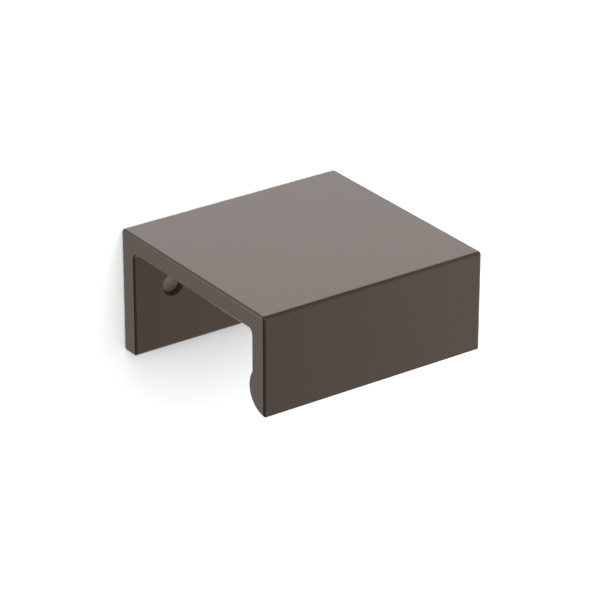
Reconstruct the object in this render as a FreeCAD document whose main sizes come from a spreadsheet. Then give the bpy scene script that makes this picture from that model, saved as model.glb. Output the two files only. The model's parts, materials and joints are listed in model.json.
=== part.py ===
"""Tab pull: one length of a dark bronze aluminium section, cut, rounded and drilled.

The section is an upside-down U. Its tall leg is the back plate, which is screwed to a
drawer or door front. Its short leg is the front plate, with a half-round lip inside its
lower edge for the fingertips.

Frame, in millimetres: X runs along the length, the mounting face is the plane Y = 0 and
faces +Y, the front plate is toward -Y, and Z is up. The origin lies midway between the
two screw holes, on the mounting face.
"""
import FreeCAD, Part
import os
import Sketcher
from FreeCAD import Vector

os.makedirs("parts", exist_ok=True)

# Driving sizes: alias, value in millimetres, what it is
SIZES = [
    ("pull_length", 50.0, "length of the pull between its cut ends"),
    ("pull_depth", 48.0, "projection of the front plate from the mounting face"),
    ("back_height", 26.0, "height of the back plate"),
    ("front_height", 20.4, "height of the front plate down to the lip"),
    ("wall_thickness", 4.0, "thickness of the section"),
    ("lip_radius", 5.0, "radius of the half-round lip, centred on the front face"),
    ("lip_blend_radius", 1.5, "hollow blend from the lip into the front plate"),
    ("outer_corner_radius", 0.5, "rounding of the two outer corners of the section"),
    ("inner_corner_radius", 1.0, "rounding of the two inside corners under the top"),
    ("foot_edge_radius", 0.5, "rounding of both long edges under the back plate"),
    ("end_round", 0.4, "rounding of the edges of both cut ends"),
    ("hole_spacing", 32.0, "distance between the two screw holes"),
    ("hole_drop", 12.8, "depth of the screw holes below the top face"),
    ("relief_diameter", 4.8, "plain recess before the thread, on the inner side"),
    ("relief_depth", 1.8, "depth of that recess"),
    ("core_diameter", 3.3, "core hole of the M4 screw thread"),
]


def make_sheet(doc):
    """Put every driving size in a spreadsheet cell that bears its name."""
    sheet = doc.addObject("Spreadsheet::Sheet", "sizes")
    for row, (alias, value, note) in enumerate(SIZES, start=1):
        sheet.set(f"A{row}", alias)
        sheet.set(f"B{row}", str(value))
        sheet.set(f"C{row}", note)
        sheet.setAlias(f"B{row}", alias)
    doc.recompute()
    return sheet


def origin_plane(body, role):
    """Return the body's origin plane with this role, such as YZ_Plane."""
    return next(item for item in body.Origin.OriginFeatures if item.Role == role)


def bind(sketch, constraint, name, expression):
    """Add one dimension to the sketch, name it and tie it to the sheet."""
    index = sketch.addConstraint(constraint)
    sketch.renameConstraint(index, name)
    sketch.setExpression(f"Constraints.{name}", expression)


def draw_section(body, sheet):
    """Draw the U section with its half-round lip in the YZ plane."""
    depth = sheet.pull_depth
    wall = sheet.wall_thickness
    top = sheet.hole_drop
    under = top - wall
    back_foot = top - sheet.back_height
    front_foot = top - sheet.front_height
    lip = sheet.lip_radius
    blend = sheet.lip_blend_radius

    sketch = body.newObject("Sketcher::SketchObject", "section_sketch")
    sketch.AttachmentSupport = [(origin_plane(body, "YZ_Plane"), "")]
    sketch.MapMode = "FlatFace"

    # The blend touches the lip from outside and the inner side of the front plate
    lip_centre = Vector(-depth, front_foot + lip, 0)
    reach = lip + blend
    rise = (reach ** 2 - (wall + blend) ** 2) ** 0.5
    blend_centre = lip_centre + Vector(wall + blend, rise, 0)
    meeting = lip_centre + (blend_centre - lip_centre) * (lip / reach)
    tip = Vector(-depth, front_foot, 0)
    lip_middle = lip_centre + Vector(lip, 0, 0)
    blend_top = Vector(wall - depth, blend_centre.y, 0)
    middle_way = (meeting + blend_top) * 0.5 - blend_centre
    blend_middle = blend_centre + middle_way.normalize() * blend

    corners = {
        "back_foot": Vector(0, back_foot, 0),
        "back_top": Vector(0, top, 0),
        "front_top": Vector(-depth, top, 0),
        "front_under": Vector(wall - depth, under, 0),
        "back_under": Vector(-wall, under, 0),
        "back_heel": Vector(-wall, back_foot, 0),
    }

    def line(start, end):
        return sketch.addGeometry(Part.LineSegment(start, end))

    back = line(corners["back_foot"], corners["back_top"])
    roof = line(corners["back_top"], corners["front_top"])
    front = line(corners["front_top"], tip)
    lip_arc = sketch.addGeometry(Part.Arc(tip, lip_middle, meeting))
    blend_arc = sketch.addGeometry(Part.Arc(meeting, blend_middle, blend_top))
    front_inside = line(blend_top, corners["front_under"])
    ceiling = line(corners["front_under"], corners["back_under"])
    back_inside = line(corners["back_under"], corners["back_heel"])
    foot = line(corners["back_heel"], corners["back_foot"])

    for upright in (back, front, front_inside, back_inside):
        sketch.addConstraint(Sketcher.Constraint("Vertical", upright))
    for level in (roof, ceiling, foot):
        sketch.addConstraint(Sketcher.Constraint("Horizontal", level))

    # An arc keeps its points counter-clockwise, so its drawn start is found by position
    def end_at(curve, point):
        return 1 if (sketch.getPoint(curve, 1) - point).Length < 1e-6 else 2

    chain = [
        (back, roof, corners["back_top"]),
        (roof, front, corners["front_top"]),
        (front, lip_arc, tip),
        (front_inside, ceiling, corners["front_under"]),
        (ceiling, back_inside, corners["back_under"]),
        (back_inside, foot, corners["back_heel"]),
        (foot, back, corners["back_foot"]),
    ]
    for first, second, point in chain:
        sketch.addConstraint(Sketcher.Constraint(
            "Coincident", first, end_at(first, point), second, end_at(second, point)))
    for first, second, point in [(lip_arc, blend_arc, meeting), (blend_arc, front_inside, blend_top)]:
        sketch.addConstraint(Sketcher.Constraint(
            "Tangent", first, end_at(first, point), second, end_at(second, point)))

    upright_axis = -2
    sketch.addConstraint(Sketcher.Constraint("PointOnObject", lip_arc, 3, front))
    sketch.addConstraint(Sketcher.Constraint("PointOnObject", back, 1, upright_axis))

    root = -1
    bind(sketch, Sketcher.Constraint("DistanceY", root, 1, back, 2, top), "top_level", "sizes.hole_drop")
    bind(sketch, Sketcher.Constraint("DistanceX", front, 1, back, 2, depth), "depth", "sizes.pull_depth")
    bind(sketch, Sketcher.Constraint("DistanceY", back, 1, back, 2, sheet.back_height),
         "back_height", "sizes.back_height")
    bind(sketch, Sketcher.Constraint("DistanceY", front, 2, front, 1, sheet.front_height),
         "front_height", "sizes.front_height")
    bind(sketch, Sketcher.Constraint("DistanceX", front, 1, front_inside, 2, wall),
         "front_wall", "sizes.wall_thickness")
    bind(sketch, Sketcher.Constraint("DistanceY", ceiling, 2, back, 2, wall),
         "roof_wall", "sizes.wall_thickness")
    bind(sketch, Sketcher.Constraint("DistanceX", back_inside, 2, back, 1, wall),
         "back_wall", "sizes.wall_thickness")
    bind(sketch, Sketcher.Constraint("Radius", lip_arc, lip), "lip_radius", "sizes.lip_radius")
    bind(sketch, Sketcher.Constraint("Radius", blend_arc, blend), "blend_radius", "sizes.lip_blend_radius")
    return sketch


def extrude_section(body, sketch):
    """Run the section along X, to both sides of the middle."""
    bar = body.newObject("PartDesign::Pad", "bar")
    bar.Profile = sketch
    bar.Midplane = True
    bar.setExpression("Length", "sizes.pull_length")
    sketch.Visibility = False
    return bar


def edges_where(feature, wanted):
    """Name the edges of a feature whose midpoint and direction pass the test."""
    names = []
    for number, edge in enumerate(feature.Shape.Edges, start=1):
        middle = edge.valueAt((edge.FirstParameter + edge.LastParameter) / 2)
        across = abs(edge.Vertexes[0].X - edge.Vertexes[-1].X)
        if wanted(middle, across):
            names.append(f"Edge{number}")
    return names


def round_edges(body, base, name, edges, size):
    """Round the named edges of the base with a radius from the sheet."""
    rounding = body.newObject("PartDesign::Fillet", name)
    rounding.Base = (base, edges)
    rounding.setExpression("Radius", f"sizes.{size}")
    return rounding


def close(first, second):
    """Tell whether two coordinates are the same."""
    return abs(first - second) < 1e-4


def round_corners(doc, body, bar, sheet):
    """Round the section's long corners, each group with its own radius."""
    top = sheet.hole_drop
    under = top - sheet.wall_thickness
    foot = top - sheet.back_height
    long_edge = sheet.pull_length / 2

    def outer(middle, across):
        return across > long_edge and close(middle.z, top)

    def inner(middle, across):
        return across > long_edge and close(middle.z, under)

    def foot_edges(middle, across):
        return across > long_edge and close(middle.z, foot)

    steps = [
        ("outer_corners", outer, "outer_corner_radius"),
        ("inner_corners", inner, "inner_corner_radius"),
        ("foot_edges", foot_edges, "foot_edge_radius"),
    ]
    feature = bar
    for name, wanted, size in steps:
        feature = round_edges(body, feature, name, edges_where(feature, wanted), size)
        doc.recompute()
    return feature


def round_ends(doc, body, base, sheet):
    """Take the sharp edge off both cut ends, all round the section."""
    end = sheet.pull_length / 2

    def on_cut_end(middle, across):
        return close(abs(middle.x), end) and across < 1e-4

    rounding = round_edges(body, base, "rounded_ends", edges_where(base, on_cut_end), "end_round")
    doc.recompute()
    return rounding


def drill_holes(doc, body, sheet):
    """Drill the left screw hole from the inner side and mirror it to the right."""
    sketch = body.newObject("Sketcher::SketchObject", "hole_sketch")
    sketch.AttachmentSupport = [(origin_plane(body, "XZ_Plane"), "")]
    sketch.MapMode = "FlatFace"
    sketch.setExpression("AttachmentOffset.Base.z", "sizes.wall_thickness")
    centre = Vector(-sheet.hole_spacing / 2, 0, 0)
    circle = sketch.addGeometry(Part.Circle(centre, Vector(0, 0, 1), sheet.core_diameter / 2))
    level_axis = -1
    sketch.addConstraint(Sketcher.Constraint("PointOnObject", circle, 3, level_axis))
    bind(sketch, Sketcher.Constraint("DistanceX", circle, 3, level_axis, 1, sheet.hole_spacing / 2),
         "half_spacing", "sizes.hole_spacing / 2")
    bind(sketch, Sketcher.Constraint("Diameter", circle, sheet.core_diameter),
         "core", "sizes.core_diameter")
    doc.recompute()

    hole = body.newObject("PartDesign::Hole", "screw_hole")
    hole.Profile = sketch
    doc.recompute()
    hole.DepthType = "ThroughAll"
    hole.setExpression("Diameter", "sizes.core_diameter")
    hole.HoleCutType = "Counterbore"
    hole.HoleCutCustomValues = True
    hole.setExpression("HoleCutDiameter", "sizes.relief_diameter")
    hole.setExpression("HoleCutDepth", "sizes.relief_depth")
    sketch.Visibility = False
    doc.recompute()

    pair = body.newObject("PartDesign::Mirrored", "hole_pair")
    pair.Originals = [hole]
    pair.MirrorPlane = (origin_plane(body, "YZ_Plane"), [""])
    body.Tip = pair
    doc.recompute()
    return pair


def check_document(doc):
    """Stop with a message when a feature has failed or a shape isn't sound."""
    for item in doc.Objects:
        if "Invalid" in item.State or "Error" in item.State:
            raise RuntimeError(f"{item.Name} failed: {item.State}")
        shape = getattr(item, "Shape", None)
        if item.isDerivedFrom("PartDesign::Feature") and (shape.isNull() or not shape.isValid()):
            raise RuntimeError(f"{item.Name} has no sound shape")


def build_pull(doc, sheet):
    """Make the pull as one body: section, rounded edges and the pair of screw holes."""
    body = doc.addObject("PartDesign::Body", "pull")
    body.Label = "pull"
    section = draw_section(body, sheet)
    bar = extrude_section(body, section)
    doc.recompute()
    cornered = round_corners(doc, body, bar, sheet)
    ended = round_ends(doc, body, cornered, sheet)
    drilled = drill_holes(doc, body, sheet)
    check_document(doc)
    if not drilled.Shape.Volume < ended.Shape.Volume:
        raise RuntimeError("the screw holes cut nothing")
    return body


doc = FreeCAD.newDocument("tab_pull")
sizes = make_sheet(doc)
pull = build_pull(doc, sizes)
pull.Shape.exportStep(f"parts/{pull.Label}.step")
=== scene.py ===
"""Looks of the tab pull: a satin dark bronze U section, screwed to a white furniture front.

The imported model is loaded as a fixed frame. The pull is then modelled again at the same
sizes, with slightly larger roundings and the screw threads that the solid leaves out, and
dressed. The furniture front, the flat ends of its two screws and the floor are only stage.
Lengths inside the modelling classes are millimetres; finished meshes are in metres.
"""

import json
import logging
import math
from dataclasses import dataclass
from enum import Enum
from typing import Any

import bmesh
import bpy
from mathutils import Matrix, Quaternion, Vector


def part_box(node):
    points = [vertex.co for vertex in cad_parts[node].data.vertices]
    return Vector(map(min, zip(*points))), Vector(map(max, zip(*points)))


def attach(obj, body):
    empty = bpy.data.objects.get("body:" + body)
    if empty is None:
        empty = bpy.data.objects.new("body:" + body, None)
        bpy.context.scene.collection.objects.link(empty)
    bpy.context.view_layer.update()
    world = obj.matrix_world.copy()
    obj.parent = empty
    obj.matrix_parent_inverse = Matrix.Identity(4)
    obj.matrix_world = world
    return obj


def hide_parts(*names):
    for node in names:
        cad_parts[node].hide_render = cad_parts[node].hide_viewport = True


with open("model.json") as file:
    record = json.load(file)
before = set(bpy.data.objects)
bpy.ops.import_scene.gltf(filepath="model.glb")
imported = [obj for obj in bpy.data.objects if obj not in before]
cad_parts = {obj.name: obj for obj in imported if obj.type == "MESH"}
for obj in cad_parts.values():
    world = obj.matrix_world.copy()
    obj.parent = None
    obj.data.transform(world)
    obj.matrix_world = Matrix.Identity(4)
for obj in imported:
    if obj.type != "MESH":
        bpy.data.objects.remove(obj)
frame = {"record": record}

log = logging.getLogger("tab_pull")

MM = 0.001
ROOT_BODY = "root"

# Lengths in millimetres: what counts as nothing, what is merged after a cut, and how far
# inside a border a face's centre has to lie.
SPECK = 1e-4
MERGED = 1e-3
INSIDE = 0.01

# Directions in the frame; the turn makes what faces up face the front, along -Y.
X_AXIS = (1.0, 0.0, 0.0)
Y_AXIS = (0.0, 1.0, 0.0)
TOWARDS_FRONT = Matrix.Rotation(math.pi / 2, 4, "X")

# Socket numbers of a Mix node that blends colours.
MIX_FACTOR = 0
MIX_FIRST = 6
MIX_SECOND = 7
MIX_RESULT = 2

# Socket numbers of a Mix Shader node.
SHADER_FACTOR = 0
SHADER_FIRST = 1
SHADER_SECOND = 2

FINE_DETAIL = 2.0

Colour = tuple[float, float, float]
Span = tuple[float, float]

WHITE: Colour = (1.0, 1.0, 1.0)


def rgba(colour: Colour) -> tuple[float, float, float, float]:
    """Return the colour with full opacity."""
    return (*colour, 1.0)


class Zone(Enum):
    """Which part of the pull's surface a finish is for; the value is its material slot."""

    FINISHED = 0
    THREAD = 1


class Link:
    """A shader socket that can be used in Python expressions."""

    def __init__(self, graph: "Graph", socket: bpy.types.NodeSocket | None) -> None:
        """Remember the graph and the output socket."""
        self.graph = graph
        self.socket = socket

    def _maths(self, operation: str, first: Any, second: Any) -> "Link":
        """Add a Math node for two values."""
        settings = {"operation": operation}
        return self.graph.node("ShaderNodeMath", settings, {0: first, 1: second})

    def __add__(self, other: Any) -> "Link":
        """Return self + other."""
        return self._maths("ADD", self, other)

    def __radd__(self, other: Any) -> "Link":
        """Return other + self."""
        return self._maths("ADD", other, self)

    def __sub__(self, other: Any) -> "Link":
        """Return self - other."""
        return self._maths("SUBTRACT", self, other)

    def __rsub__(self, other: Any) -> "Link":
        """Return other - self."""
        return self._maths("SUBTRACT", other, self)

    def __mul__(self, other: Any) -> "Link":
        """Return self * other."""
        return self._maths("MULTIPLY", self, other)

    def __rmul__(self, other: Any) -> "Link":
        """Return other * self."""
        return self._maths("MULTIPLY", other, self)


class Graph:
    """The node tree of one material or of the world."""

    def __init__(self, owner: bpy.types.Material | bpy.types.World) -> None:
        """Clear the owner's node tree and keep it.

        Args:
            owner: the material or the world that the nodes belong to.
        """
        owner.use_nodes = True
        self.tree = owner.node_tree
        self.tree.nodes.clear()

    def node(
        self,
        kind: str,
        settings: dict[str, Any] | None = None,
        inputs: dict[str | int, Any] | None = None,
        output: str | int = 0,
    ) -> Link:
        """Add a node of any kind.

        Args:
            kind: Blender's name of the node type.
            settings: properties set before its sockets; "stops" fills a colour ramp.
            inputs: values or links of its input sockets, by name or number.
            output: name or number of the output socket to return.

        Returns:
            The chosen output socket, for use in expressions.
        """
        made = self.tree.nodes.new(kind)
        for name, value in (settings or {}).items():
            if name == "stops":
                self._fill_ramp(made.color_ramp, value)
            else:
                setattr(made, name, value)
        for key, value in (inputs or {}).items():
            if isinstance(value, Link):
                self.tree.links.new(value.socket, made.inputs[key])
            else:
                made.inputs[key].default_value = value
        return Link(self, made.outputs[output]) if made.outputs else Link(self, None)

    @staticmethod
    def _fill_ramp(ramp: bpy.types.ColorRamp, stops: list[tuple[float, Colour]]) -> None:
        """Set a colour ramp's stops.

        Args:
            ramp: the ramp of a new node, with two stops.
            stops: at least two positions from 0 to 1, each with its colour.
        """
        while len(ramp.elements) < len(stops):
            ramp.elements.new(1.0)
        for element, (position, colour) in zip(ramp.elements, stops):
            element.position = position
            element.color = rgba(colour)

    def mix(self, factor: Any, first: Any, second: Any) -> Link:
        """Blend two colours, or links to colours, by a factor."""
        sockets = {MIX_FACTOR: factor, MIX_FIRST: first, MIX_SECOND: second}
        return self.node("ShaderNodeMix", {"data_type": "RGBA"}, sockets, MIX_RESULT)

    def noise(self, place: Link, scale: float, detail: float = FINE_DETAIL) -> Link:
        """Add a noise texture.

        Args:
            place: the coordinates it is read at.
            scale: how often it repeats in one unit of them.
            detail: how many finer layers it has.

        Returns:
            The noise, from 0 to 1.
        """
        sockets = {"Vector": place, "Scale": scale, "Detail": detail}
        return self.node("ShaderNodeTexNoise", inputs=sockets)

    def bump(self, height: Link) -> Link:
        """Add a bump of full strength.

        Args:
            height: the height of the surface in metres.

        Returns:
            The bent normal.
        """
        sockets = {"Strength": 1.0, "Distance": 1.0, "Height": height}
        return self.node("ShaderNodeBump", inputs=sockets)

    def one_sided(self, surface: Link) -> Link:
        """Make a surface clear where it is seen from its back.

        Args:
            surface: the shader of the front.

        Returns:
            The shader of both sides.
        """
        clear = self.node("ShaderNodeBsdfTransparent")
        is_back = self.node("ShaderNodeNewGeometry", output="Backfacing")
        sockets = {SHADER_FACTOR: is_back, SHADER_FIRST: surface, SHADER_SECOND: clear}
        return self.node("ShaderNodeMixShader", inputs=sockets)


@dataclass(frozen=True)
class BronzeFinish:
    """Dark bronze anodising: dyed satin metal under a clear, sealed film."""

    dye: Colour = (0.165, 0.124, 0.099)
    dye_worn_in: Colour = (0.159, 0.119, 0.095)
    roughness: float = 0.28
    roughness_spread: float = 0.04
    film_roughness: float = 0.15
    film_ior: float = 1.42
    clouds_per_metre: float = 90.0
    cloud_detail: float = 3.0
    grain_size: float = 0.12
    grain_depth: float = 0.0006
    die_line_pitch: float = 0.35
    die_line_depth: float = 0.0005
    die_line_waver: float = 0.01

    def material(self) -> bpy.types.Material:
        """Make the finish as a material that reads object coordinates.

        Returns:
            The new material.
        """
        made = bpy.data.materials.new("satin_dark_bronze")
        graph = Graph(made)
        place = graph.node("ShaderNodeTexCoord", output="Object")
        cloud = graph.noise(place, self.clouds_per_metre, self.cloud_detail)
        grain = graph.noise(place, 1.0 / (self.grain_size * MM))
        lines = self._die_lines(graph, place)
        height = grain * (self.grain_depth * MM) + lines * (self.die_line_depth * MM)
        roughness = cloud * self.roughness_spread + grain * self.roughness_spread
        film = graph.node(
            "ShaderNodeBsdfPrincipled",
            inputs={
                "Base Color": graph.mix(cloud, rgba(self.dye), rgba(self.dye_worn_in)),
                "Metallic": 1.0,
                "Roughness": roughness + (self.roughness - self.roughness_spread),
                "Coat Weight": 1.0,
                "Coat Roughness": self.film_roughness,
                "Coat IOR": self.film_ior,
                "Normal": graph.bump(height),
            },
        )
        graph.node("ShaderNodeOutputMaterial", inputs={"Surface": film})
        return made

    def _die_lines(self, graph: Graph, place: Link) -> Link:
        """Add the faint lines that the extrusion die leaves along X.

        Args:
            graph: the finish's node tree.
            place: object coordinates.

        Returns:
            Noise from 0 to 1 that hardly changes along X.
        """
        scale = Vector((self.die_line_waver, 1.0, 1.0)) / (self.die_line_pitch * MM)
        squeezed = graph.node("ShaderNodeMapping", inputs={"Vector": place, "Scale": scale})
        return graph.noise(squeezed, 1.0)


@dataclass(frozen=True)
class CutMetal:
    """Dull grey metal as a tool leaves it: threads, recess floors and the ends of screws."""

    name: str
    metal: Colour = (0.435, 0.372, 0.334)
    metallic: float = 0.40
    roughness: float = 0.44
    roughness_spread: float = 0.08
    darkest_share: float = 0.92
    chatter_size: float = 0.05
    chatter_depth: float = 0.001
    front_only: bool = False

    def material(self) -> bpy.types.Material:
        """Make the cut surface with its fine chatter marks.

        Returns:
            The new material.
        """
        made = bpy.data.materials.new(self.name)
        graph = Graph(made)
        place = graph.node("ShaderNodeTexCoord", output="Object")
        chatter = graph.noise(place, 1.0 / (self.chatter_size * MM))
        darker = tuple(self.darkest_share * part for part in self.metal)
        smoothest = self.roughness - self.roughness_spread / 2
        surface = graph.node(
            "ShaderNodeBsdfPrincipled",
            inputs={
                "Base Color": graph.mix(chatter, rgba(self.metal), rgba(darker)),
                "Metallic": self.metallic,
                "Roughness": chatter * self.roughness_spread + smoothest,
                "Normal": graph.bump(chatter * (self.chatter_depth * MM)),
            },
        )
        shown = graph.one_sided(surface) if self.front_only else surface
        graph.node("ShaderNodeOutputMaterial", inputs={"Surface": shown})
        return made


@dataclass(frozen=True)
class WhiteBoard:
    """Matt white of the furniture front and the floor; its back can be seen through."""

    name: str
    white: Colour = (0.86, 0.86, 0.86)

    def material(self) -> bpy.types.Material:
        """Make the painted board.

        Returns:
            The new material.
        """
        made = bpy.data.materials.new(self.name)
        graph = Graph(made)
        paint = graph.node("ShaderNodeBsdfDiffuse", inputs={"Color": rgba(self.white)})
        graph.node("ShaderNodeOutputMaterial", inputs={"Surface": graph.one_sided(paint)})
        return made


def mesh_object(name: str, shape: bmesh.types.BMesh) -> bpy.types.Object:
    """Turn a bmesh into an object at the origin and free the bmesh.

    Args:
        name: name of the object and its mesh.
        shape: the finished bmesh.

    Returns:
        The new object, linked to the scene.
    """
    mesh = bpy.data.meshes.new(name)
    shape.to_mesh(mesh)
    shape.free()
    made = bpy.data.objects.new(name, mesh)
    bpy.context.scene.collection.objects.link(made)
    return made


def face_outwards(shape: bmesh.types.BMesh) -> None:
    """Turn the faces of closed shells outwards; the recalculation alone can turn them in.

    Args:
        shape: the shells to turn.
    """
    bmesh.ops.recalc_face_normals(shape, faces=shape.faces[:])
    if shape.calc_volume(signed=True) < 0:
        bmesh.ops.reverse_faces(shape, faces=shape.faces[:])


def cut(target: bpy.types.Object, cutter: bpy.types.Object) -> None:
    """Cut one solid out of another for good and delete the cutter.

    Args:
        target: the object that loses material.
        cutter: the solid that is taken away.
    """
    step = target.modifiers.new("cut", "BOOLEAN")
    step.operation = "DIFFERENCE"
    step.solver = "EXACT"
    step.object = cutter
    graph = bpy.context.evaluated_depsgraph_get()
    result = bpy.data.meshes.new_from_object(target.evaluated_get(graph))
    target.modifiers.clear()
    target.data = result
    bpy.data.objects.remove(cutter)


@dataclass
class Section:
    """The extruded U section with its half-round finger lip, in millimetres.

    Every outer rounding has to be larger than the one at the ends, and the lip's chords long
    enough to carry that one: with more arc steps the bar overlaps itself at the lip's tip,
    and then its holes can't be cut.
    """

    length: float
    depth: float
    top: float
    foot: float
    front_height: float = 20.4
    wall: float = 4.0
    lip_radius: float = 5.0
    lip_blend: float = 1.5
    outer_corner: float = 0.7
    inner_corner: float = 1.0
    foot_edge: float = 0.65
    end_round: float = 0.5
    arc_steps: int = 18
    corner_steps: int = 6

    def build(self) -> bmesh.types.BMesh:
        """Make the plain bar: outline, rounded corners, extrusion, rounded ends.

        Returns:
            The closed bar, without its screw holes.
        """
        shape = bmesh.new()
        outline = self._outline(shape)
        self._round_corners(shape, outline)
        self._extrude(shape)
        self._round_ends(shape)
        face_outwards(shape)
        return shape

    def _outline(self, shape: bmesh.types.BMesh) -> dict[str, bmesh.types.BMVert]:
        """Draw the section's outline at the left end and fill it.

        Args:
            shape: an empty bmesh.

        Returns:
            The corners that get a rounding, by name.
        """
        left = -self.length / 2
        under = self.top - self.wall
        front_foot = self.top - self.front_height
        lip_centre = Vector((left, -self.depth, front_foot + self.lip_radius))
        between_centres = self.lip_radius + self.lip_blend
        across = self.wall + self.lip_blend
        rise = math.sqrt(between_centres**2 - across**2)
        blend_centre = lip_centre + Vector((0.0, across, rise))
        meeting_angle = math.atan2(rise, across)

        tip = shape.verts.new((left, -self.depth, front_foot))
        turned = bmesh.ops.spin(
            shape,
            geom=[tip],
            cent=lip_centre,
            axis=X_AXIS,
            angle=math.pi / 2 + meeting_angle,
            steps=self.arc_steps,
        )
        meeting = self._only_vert(turned["geom_last"])
        turned = bmesh.ops.spin(
            shape,
            geom=[meeting],
            cent=blend_centre,
            axis=X_AXIS,
            angle=-meeting_angle,
            steps=self.corner_steps,
        )
        blend_top = self._only_vert(turned["geom_last"])

        corners = {
            "front_under": shape.verts.new((left, self.wall - self.depth, under)),
            "back_under": shape.verts.new((left, -self.wall, under)),
            "back_heel": shape.verts.new((left, -self.wall, self.foot)),
            "back_foot": shape.verts.new((left, 0.0, self.foot)),
            "back_top": shape.verts.new((left, 0.0, self.top)),
            "front_top": shape.verts.new((left, -self.depth, self.top)),
        }
        ring = [blend_top, *corners.values(), tip]
        for first, second in zip(ring, ring[1:]):
            shape.edges.new((first, second))
        bmesh.ops.contextual_create(shape, geom=shape.edges[:])
        return corners

    @staticmethod
    def _only_vert(parts: list[Any]) -> bmesh.types.BMVert:
        """Return the vertex among the parts that a spin ends with."""
        return next(part for part in parts if isinstance(part, bmesh.types.BMVert))

    def _round_corners(
        self, shape: bmesh.types.BMesh, corners: dict[str, bmesh.types.BMVert]
    ) -> None:
        """Round the outline's corners, each with its own radius.

        Args:
            shape: the bmesh that holds the outline.
            corners: the outline's corners by name.
        """
        radii = {
            "back_top": self.outer_corner,
            "front_top": self.outer_corner,
            "front_under": self.inner_corner,
            "back_under": self.inner_corner,
            "back_heel": self.foot_edge,
            "back_foot": self.foot_edge,
        }
        for name, radius in radii.items():
            bmesh.ops.bevel(
                shape,
                geom=[corners[name]],
                offset=radius,
                offset_type="OFFSET",
                segments=self.corner_steps,
                profile=0.5,
                affect="VERTICES",
                material=-1,
            )

    def _extrude(self, shape: bmesh.types.BMesh) -> None:
        """Run the outline from the left end to the right end.

        Args:
            shape: the bmesh that holds the filled outline.
        """
        run = bmesh.ops.extrude_face_region(shape, geom=shape.faces[:])
        far = [part for part in run["geom"] if isinstance(part, bmesh.types.BMVert)]
        bmesh.ops.translate(shape, verts=far, vec=(self.length, 0.0, 0.0))

    def _round_ends(self, shape: bmesh.types.BMesh) -> None:
        """Round the edges of both cut ends.

        Args:
            shape: the bmesh that holds the bar.
        """
        end = self.length / 2
        rim = [
            edge
            for edge in shape.edges
            if all(abs(abs(corner.co.x) - end) < SPECK for corner in edge.verts)
            and abs(edge.verts[0].co.x - edge.verts[1].co.x) < SPECK
        ]
        bmesh.ops.bevel(
            shape,
            geom=rim,
            offset=self.end_round,
            offset_type="OFFSET",
            segments=self.corner_steps,
            profile=0.5,
            affect="EDGES",
            material=-1,
        )


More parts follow.
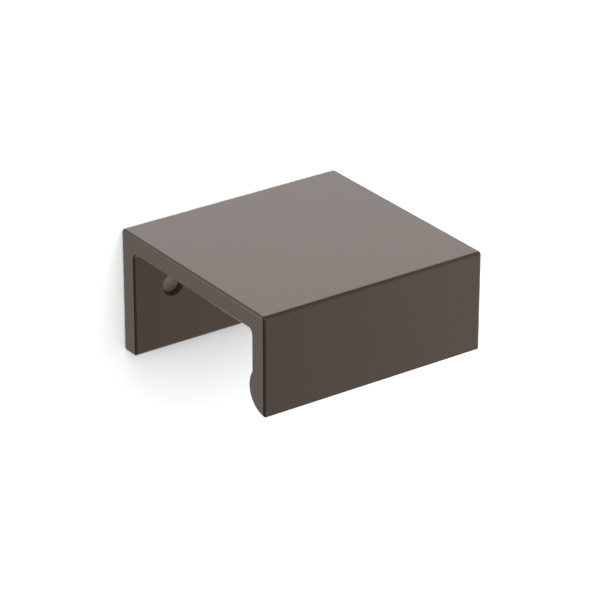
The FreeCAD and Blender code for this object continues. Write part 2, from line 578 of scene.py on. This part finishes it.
@dataclass
class ScrewHoles:
    """Two tapped holes through the back plate, each with a plain recess, in millimetres.

    The plain plugs that cut the recesses stand out of the inner face by `proud`. The threaded
    plugs start `lead_in` pitches before the floor of the recess, and their spare turns take
    them out of the back.
    """

    spacing: float
    core_radius: float
    wall: float
    relief_radius: float = 2.4
    relief_depth: float = 1.8
    thread_radius: float = 2.0
    pitch: float = 0.7
    crest_share: float = 0.125
    steps: int = 48
    proud: float = 1.0
    lead_in: float = 1.5
    spare_turns: int = 3

    def centres(self) -> tuple[float, float]:
        """Return where the hole axes stand along X."""
        return (-self.spacing / 2, self.spacing / 2)

    def relief_cutter(self) -> bmesh.types.BMesh:
        """Make the plugs that cut both recesses from the inner side.

        Returns:
            Two cylinders that stand out of the inner face.
        """
        shape = bmesh.new()
        tall = self.relief_depth + self.proud
        middle_y = -self.wall + self.relief_depth - tall / 2
        for centre in self.centres():
            place = Matrix.Translation((centre, middle_y, 0.0))
            bmesh.ops.create_cone(
                shape,
                cap_ends=True,
                segments=2 * self.steps,
                radius1=self.relief_radius,
                radius2=self.relief_radius,
                depth=tall,
                matrix=place @ TOWARDS_FRONT,
            )
        return shape

    def tap_cutter(self) -> bmesh.types.BMesh:
        """Make the threaded plugs that cut both screw threads.

        Returns:
            Two closed helical plugs, longer than the thread at both ends.
        """
        shape = bmesh.new()
        for centre in self.centres():
            self._add_tap(shape, centre)
        face_outwards(shape)
        return shape

    def _add_tap(self, shape: bmesh.types.BMesh, centre: float) -> None:
        """Add one threaded plug; a low cone, with its point on the axis, closes each end.

        Args:
            shape: the bmesh that gets the plug.
            centre: X of the hole's axis.
        """
        start = -self.wall + self.relief_depth - self.lead_in * self.pitch
        turns = math.ceil((self.wall - self.relief_depth) / self.pitch) + self.spare_turns
        tooth = {
            0.0: self.core_radius,
            self.crest_share: self.core_radius,
            0.5: self.thread_radius,
            0.5 + self.crest_share: self.thread_radius,
            1.0: self.core_radius,
        }
        ridge = [
            shape.verts.new((centre + radius, start + share * self.pitch, 0.0))
            for share, radius in tooth.items()
        ]
        profile = [shape.edges.new(pair) for pair in zip(ridge, ridge[1:])]
        bmesh.ops.spin(
            shape,
            geom=ridge + profile,
            cent=(centre, 0.0, 0.0),
            axis=Y_AXIS,
            dvec=(0.0, self.pitch / self.steps, 0.0),
            angle=2 * math.pi * turns,
            steps=self.steps * turns,
        )
        bmesh.ops.remove_doubles(shape, verts=shape.verts[:], dist=SPECK)
        around_axis = 2 * self.thread_radius
        open_edges = [
            edge
            for edge in shape.edges
            if edge.is_boundary and abs(edge.verts[0].co.x - centre) < around_axis
        ]
        middle = start + self.pitch * (turns + 1) / 2
        apex_height = self.pitch * (turns + 2) / 2
        for side in (-1, 1):
            rim = [edge for edge in open_edges if side * (edge.verts[0].co.y - middle) > 0]
            apex = Vector((centre, middle + side * apex_height, 0.0))
            fan = bmesh.ops.extrude_edge_only(shape, edges=rim)
            tops = [part for part in fan["geom"] if isinstance(part, bmesh.types.BMVert)]
            bmesh.ops.pointmerge(shape, verts=tops, merge_co=apex)

    def holds(self, point: Vector) -> bool:
        """Tell whether a point of the surface lies in a thread or on the floor round it.

        Args:
            point: a point of the finished pull's surface.

        Returns:
            True where the metal is bare.
        """
        near = min(math.hypot(point.x - centre, point.z) for centre in self.centres())
        floor = -self.wall + self.relief_depth
        return near < self.relief_radius - INSIDE and floor - INSIDE < point.y < -INSIDE


@dataclass
class Pull:
    """The whole handle: the section with its screw holes, dressed and set in the frame."""

    node: str
    section: Section
    holes: ScrewHoles
    slot: str
    smooth_below: float = math.radians(28.0)
    face_area_weight: int = 100

    @classmethod
    def from_frame(cls) -> "Pull":
        """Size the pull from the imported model.

        Returns:
            The pull, ready to be built.
        """
        record = frame["record"]
        node = record["subparts"][0]["node"]
        low, high = (Vector(corner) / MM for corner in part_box(node))
        section = Section(
            length=high.x - low.x, depth=high.y - low.y, top=high.z, foot=low.z
        )
        bolts = next(item for item in record["mounts"] if item["kind"] == "bolt_pattern")
        holes = ScrewHoles(
            spacing=bolts["dims"]["spacing_x_mm"],
            core_radius=bolts["dims"]["hole_r_mm"],
            wall=section.wall,
        )
        return cls(node, section, holes, record["subparts"][0]["material_slot"])

    def build(self) -> bpy.types.Object:
        """Model the pull and cut its holes.

        Returns:
            The finished object, in metres, at the origin.
        """
        pull = mesh_object("pull_body", self.section.build())
        cut(pull, mesh_object("relief_plugs", self.holes.relief_cutter()))
        cut(pull, mesh_object("tap_plugs", self.holes.tap_cutter()))
        self._mend_cuts(pull)
        self._sort_zones(pull)
        pull.data.transform(Matrix.Scale(MM, 4))
        self._smooth(pull)
        return pull

    @staticmethod
    def _mend_cuts(pull: bpy.types.Object) -> None:
        """Merge the specks that the cuts leave and split the faces that have holes.

        Args:
            pull: the object that has been cut, still in millimetres.
        """
        shape = bmesh.new()
        shape.from_mesh(pull.data)
        bmesh.ops.remove_doubles(shape, verts=shape.verts[:], dist=MERGED)
        bmesh.ops.dissolve_degenerate(shape, dist=MERGED, edges=shape.edges[:])
        wide = [face for face in shape.faces if len(face.verts) > 4]
        bmesh.ops.triangulate(shape, faces=wide, quad_method="BEAUTY", ngon_method="BEAUTY")
        shape.to_mesh(pull.data)
        shape.free()

    def _sort_zones(self, pull: bpy.types.Object) -> None:
        """Give each face the material slot of its zone.

        Args:
            pull: the object that has been cut, still in millimetres.
        """
        pull.data.materials.clear()
        finishes = {Zone.FINISHED: BronzeFinish(), Zone.THREAD: CutMetal("cut_aluminium")}
        for zone in Zone:
            pull.data.materials.append(finishes[zone].material())
        for face in pull.data.polygons:
            zone = Zone.THREAD if self.holes.holds(face.center) else Zone.FINISHED
            face.material_index = zone.value

    def _smooth(self, pull: bpy.types.Object) -> None:
        """Shade the roundings smooth and keep the broad faces flat.

        Args:
            pull: the finished object.
        """
        pull.data.shade_smooth()
        pull.data.set_sharp_from_angle(angle=self.smooth_below)
        level = pull.modifiers.new("flat_faces", "WEIGHTED_NORMAL")
        level.mode = "FACE_AREA"
        level.weight = self.face_area_weight
        level.keep_sharp = True

    def dress(self, pull: bpy.types.Object) -> None:
        """Set the pull in the frame in place of its plain solid.

        Args:
            pull: the finished object.
        """
        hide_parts(self.node)
        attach(pull, ROOT_BODY)


@dataclass
class Sky:
    """A soft dome that lights matt surfaces, and the room that the metal mirrors.

    A span gives the part of a ray's direction along one axis, from -1 to 1, at which a change
    starts and at which it ends. The room behind the pull and the room ahead of it have tables
    of light levels from their left side (0) to their right side (1). The room ahead also has
    a softbox, straight ahead above the horizon and from the middle to the left, and a pale
    floor below.
    """

    dome: float = 0.84
    dome_overhead: float = 3.1
    overhead: Span = (0.12, 0.36)
    behind: Span = (-0.10, 0.60)
    behind_levels: tuple[Span, ...] = (
        (0.00, 0.85),
        (0.16, 0.92),
        (0.24, 0.385),
        (0.38, 0.42),
        (0.52, 0.48),
        (0.66, 0.83),
        (0.76, 0.885),
    )
    ahead_levels: tuple[Span, ...] = (
        (0.00, 0.07),
        (0.15, 0.08),
        (0.27, 0.165),
        (0.50, 0.14),
        (0.71, 0.115),
        (0.85, 0.785),
        (1.00, 1.25),
    )
    ahead_lean: float = 0.08
    ahead_tint: Colour = (1.0, 0.968, 0.95)
    softbox: float = 0.42
    softbox_rise: Span = (-0.30, -0.02)
    softbox_side: Span = (0.08, 0.36)
    softbox_reach: Span = (-0.75, -0.50)
    floor: float = 0.7
    floor_rise: Span = (-0.82, -0.58)
    floor_reach: Span = (-0.60, -0.25)

    def build(self) -> None:
        """Make the world; what a ray meets depends on its kind and its direction."""
        world = bpy.data.worlds.new("studio")
        bpy.context.scene.world = world
        world.cycles.sampling_method = "NONE"
        graph = Graph(world)
        direction = graph.node("ShaderNodeTexCoord", output="Generated")
        split = {"Vector": direction}
        x = graph.node("ShaderNodeSeparateXYZ", inputs=split, output="X")
        y = graph.node("ShaderNodeSeparateXYZ", inputs=split, output="Y")
        z = graph.node("ShaderNodeSeparateXYZ", inputs=split, output="Z")
        is_behind = self._ramp(graph, y, self.behind, (0.0, 1.0))
        mirrored = self._room_behind(graph, x) * is_behind
        mirrored = mirrored + self._room_ahead(graph, x, y, z) * (1.0 - is_behind)
        dome = self._ramp(graph, z, self.overhead, (self.dome, self.dome_overhead))
        camera_ray = graph.node("ShaderNodeLightPath", output="Is Camera Ray")
        glossy_ray = graph.node("ShaderNodeLightPath", output="Is Glossy Ray")
        shown = glossy_ray * mirrored + (1.0 - glossy_ray - camera_ray) * dome + camera_ray
        is_ahead = glossy_ray * (1.0 - is_behind)
        sockets = {
            "Color": graph.mix(is_ahead, rgba(WHITE), rgba(self.ahead_tint)),
            "Strength": shown,
        }
        backdrop = graph.node("ShaderNodeBackground", inputs=sockets)
        graph.node("ShaderNodeOutputWorld", inputs={"Surface": backdrop})

    def _room_behind(self, graph: Graph, x: Link) -> Link:
        """Return the light that the metal mirrors from behind the furniture front."""
        return self._levels(graph, x, self.behind_levels)

    def _room_ahead(self, graph: Graph, x: Link, y: Link, z: Link) -> Link:
        """Add up the light that the metal mirrors from the room ahead of the pull.

        Args:
            graph: the world's node tree.
            x: the part of the ray's direction along X, from -1 to 1.
            y: the same along Y.
            z: the same along Z.

        Returns:
            The light level.
        """
        walls = self._levels(graph, x - z * self.ahead_lean, self.ahead_levels)
        softbox = self._ramp(graph, z, self.softbox_rise, (0.0, self.softbox))
        softbox = softbox * self._ramp(graph, x, self.softbox_side, (1.0, 0.0))
        softbox = softbox * self._ramp(graph, y, self.softbox_reach, (1.0, 0.0))
        floor = self._ramp(graph, z, self.floor_rise, (self.floor, 0.0))
        floor = floor * self._ramp(graph, y, self.floor_reach, (1.0, 0.0))
        return walls + softbox + floor

    @staticmethod
    def _levels(graph: Graph, value: Link, levels: tuple[Span, ...]) -> Link:
        """Look up a light level in a table.

        Args:
            graph: the world's node tree.
            value: part of a direction, from -1 to 1; the table's places run from 0 to 1.
            levels: pairs of a place and the light level there.

        Returns:
            The light level.
        """
        stops = [(place, (level, level, level)) for place, level in levels]
        place_in_table = value * 0.5 + 0.5
        return graph.node("ShaderNodeValToRGB", {"stops": stops}, {"Fac": place_in_table})

    @staticmethod
    def _ramp(graph: Graph, value: Link, span: Span, levels: tuple[float, float]) -> Link:
        """Change softly from one level to another over a span.

        Args:
            graph: the world's node tree.
            value: the value that decides, such as a part of a direction.
            span: where the change starts and where it ends.
            levels: the level before the span and the level after it.

        Returns:
            The level for the value.
        """
        sockets = {
            "Value": value,
            "From Min": span[0],
            "From Max": span[1],
            "To Min": levels[0],
            "To Max": levels[1],
        }
        return graph.node("ShaderNodeMapRange", {"interpolation_type": "SMOOTHSTEP"}, sockets)


@dataclass
class View:
    """The photograph's camera, with its aim and distance in millimetres; its frame is square."""

    azimuth: float = -35.1201
    elevation: float = 25.6568
    roll: float = 0.0748
    aim: Vector = Vector((-0.708, -24.91, 0.641))
    distance: float = 610.5
    lens: float = 191.466
    sensor: float = 36.0
    seen_from: float = 0.01
    seen_to: float = 20.0

    def build(self) -> None:
        """Place the camera and make it the scene's own."""
        turn, rise = math.radians(self.azimuth), math.radians(self.elevation)
        back = Vector(
            (math.sin(turn) * math.cos(rise), -math.cos(turn) * math.cos(rise), math.sin(rise))
        )
        lens = bpy.data.cameras.new("photo_camera")
        lens.lens = self.lens
        lens.sensor_width = self.sensor
        lens.clip_start = self.seen_from
        lens.clip_end = self.seen_to
        made = bpy.data.objects.new("photo_camera", lens)
        made.location = (self.aim + back * self.distance) * MM
        made.rotation_mode = "QUATERNION"
        level = (-back).to_track_quat("-Z", "Y")
        made.rotation_quaternion = level @ Quaternion((0.0, 0.0, 1.0), math.radians(self.roll))
        bpy.context.scene.collection.objects.link(made)
        bpy.context.scene.camera = made


@dataclass
class Studio:
    """Everything round the pull that isn't part of it, in metres but for the screws' bevel."""

    low: Vector
    high: Vector
    holes: ScrewHoles
    reach: float = 0.6
    behind: float = 0.00005
    floor_drop: float = 0.6
    screw_bevel: float = 0.04

    def build(self) -> None:
        """Put up the front with its two screws, the floor, the sky and the camera."""
        self._front()
        self._floor()
        self._screw_ends()
        Sky().build()
        View().build()
        scene = bpy.context.scene
        scene.view_settings.view_transform = "Standard"

    def _front(self) -> bpy.types.Object:
        """Make the white furniture front that the pull is screwed to.

        Returns:
            The front, one-sided, just behind the mounting face.
        """
        shape = bmesh.new()
        bmesh.ops.create_grid(
            shape,
            x_segments=1,
            y_segments=1,
            size=self.reach,
            matrix=Matrix.Translation((0.0, self.high.y + self.behind, 0.0)) @ TOWARDS_FRONT,
        )
        front = mesh_object("furniture_front", shape)
        front.data.materials.append(WhiteBoard("white_front").material())
        front.visible_glossy = False
        return front

    def _floor(self) -> bpy.types.Object:
        """Make a pale floor well below the pull, out of the photograph's frame.

        Returns:
            The floor, which neither lights the pull nor is mirrored in it.
        """
        shape = bmesh.new()
        place = (0.0, self.high.y - self.reach, self.low.z - self.floor_drop)
        bmesh.ops.create_grid(
            shape,
            x_segments=1,
            y_segments=1,
            size=self.reach,
            matrix=Matrix.Translation(place),
        )
        floor = mesh_object("floor", shape)
        floor.data.materials.append(WhiteBoard("pale_floor").material())
        floor.visible_glossy = False
        floor.visible_diffuse = False
        return floor

    def _screw_ends(self) -> bpy.types.Object:
        """Make the flat ends of the screws that hold the pull, as its recesses show them.

        Returns:
            Both ends, flush with the recesses' floors.
        """
        holes = self.holes
        shape = bmesh.new()
        flush = -holes.wall + holes.relief_depth
        for centre in holes.centres():
            made = bmesh.ops.create_circle(
                shape,
                cap_ends=True,
                segments=2 * holes.steps,
                radius=holes.thread_radius,
                matrix=Matrix.Translation((centre, flush, 0.0)) @ TOWARDS_FRONT,
            )
            ends = list({face for vert in made["verts"] for face in vert.link_faces})
            bmesh.ops.inset_region(
                shape,
                faces=ends,
                thickness=self.screw_bevel,
                depth=self.screw_bevel,
                use_boundary=True,
                use_even_offset=True,
            )
        screws = mesh_object("screw_ends", shape)
        screws.data.transform(Matrix.Scale(MM, 4))
        screws.data.materials.append(CutMetal("screw_steel", front_only=True).material())
        return screws


def corners(box: tuple[Vector, Vector]) -> list[list[float]]:
    """Return a box's corners as plain lists of numbers."""
    return [list(corner) for corner in box]


def main() -> None:
    """Build the pull and the studio in order."""
    logging.basicConfig(level=logging.INFO, format="%(name)s: %(message)s")
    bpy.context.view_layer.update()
    pull = Pull.from_frame()
    low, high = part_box(pull.node)
    piece = pull.build()
    pull.dress(piece)
    log.info("%s: %d faces", piece.name, len(piece.data.polygons))
    Studio(Vector(low), Vector(high), pull.holes).build()


if __name__ == "__main__":
    main()
